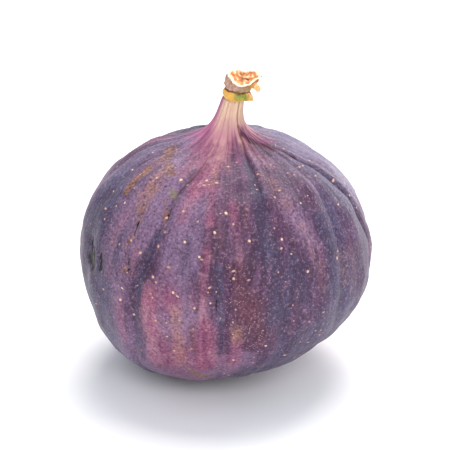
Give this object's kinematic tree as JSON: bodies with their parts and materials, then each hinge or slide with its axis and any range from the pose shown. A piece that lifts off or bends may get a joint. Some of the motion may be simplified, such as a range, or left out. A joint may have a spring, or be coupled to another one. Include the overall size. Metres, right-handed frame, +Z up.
{
  "type": "fresh fig",
  "caption": "Whole ripe fig: a round ribbed fruit drawn up into a slim neck, with a collar of bracts, a cut stalk and a scaled eye underneath.",
  "frame": {"origin": "on the ground, under the middle of the fruit", "axes": "+Z up from the flat spot to the stalk; -Y is the front; the stalk leans towards +X"},
  "size_m": [0.0581, 0.0579, 0.0623],
  "materials": {
    "fig_skin": "satin",
    "bract": "satin",
    "stalk": "matte",
    "eye": "matte"
  },
  "bodies": {
    "root": {"fruit": "fig_skin", "bract_collar": "bract", "stalk": "stalk", "eye_scales": "eye"}
  },
  "joints": []
}
